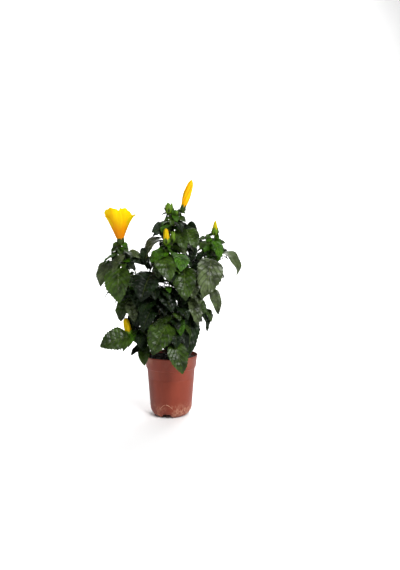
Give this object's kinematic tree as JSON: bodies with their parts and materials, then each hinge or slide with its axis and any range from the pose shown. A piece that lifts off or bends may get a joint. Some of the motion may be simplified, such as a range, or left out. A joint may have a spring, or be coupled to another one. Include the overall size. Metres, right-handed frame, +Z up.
{
  "type": "potted hibiscus shrub",
  "caption": "Bushy flowering shrub with glossy toothed leaves, pointed buds and funnel-shaped yellow blossom on upright shoots, growing from a round tapered nursery pot.",
  "frame": {"origin": "at ground level under the middle of the plant, on the middle axis of the pot", "axes": "+Z up along the trunk; -Y towards the side with the open blossom on the left; +X to the right as seen from there"},
  "size_m": [0.3518, 0.2548, 0.583],
  "materials": {
    "terracotta_plastic": "satin",
    "potting_mix": "rough, moist",
    "bark": "rough",
    "leaf_green": "glossy",
    "petal_yellow": "satin"
  },
  "bodies": {
    "root": {"pot": "terracotta_plastic", "soil": "potting_mix", "trunk": "bark", "bough_left": "bark", "bough_middle": "bark", "bough_front": "bark", "bough_right": "bark", "bough_left_side": "bark", "bough_front_side": "bark", "bough_right_side": "bark", "bough_low_left": "bark", "bough_low_front": "bark", "bough_low_right": "bark", "bough_back": "bark", "bough_back_left": "bark", "bough_back_right": "bark", "bough_low_back": "bark", "foliage_left_top": "leaf_green", "foliage_top": "leaf_green", "foliage_front_top": "leaf_green", "foliage_right_top": "leaf_green", "foliage_left_middle": "leaf_green", "foliage_front_middle": "leaf_green", "foliage_right_middle": "leaf_green", "foliage_left_low": "leaf_green", "foliage_front_low": "leaf_green", "foliage_right_low": "leaf_green", "foliage_back_top": "leaf_green", "foliage_back_left": "leaf_green", "foliage_back_right": "leaf_green", "foliage_back_low": "leaf_green", "open_flower": "petal_yellow", "furled_flower": "petal_yellow"}
  },
  "joints": []
}
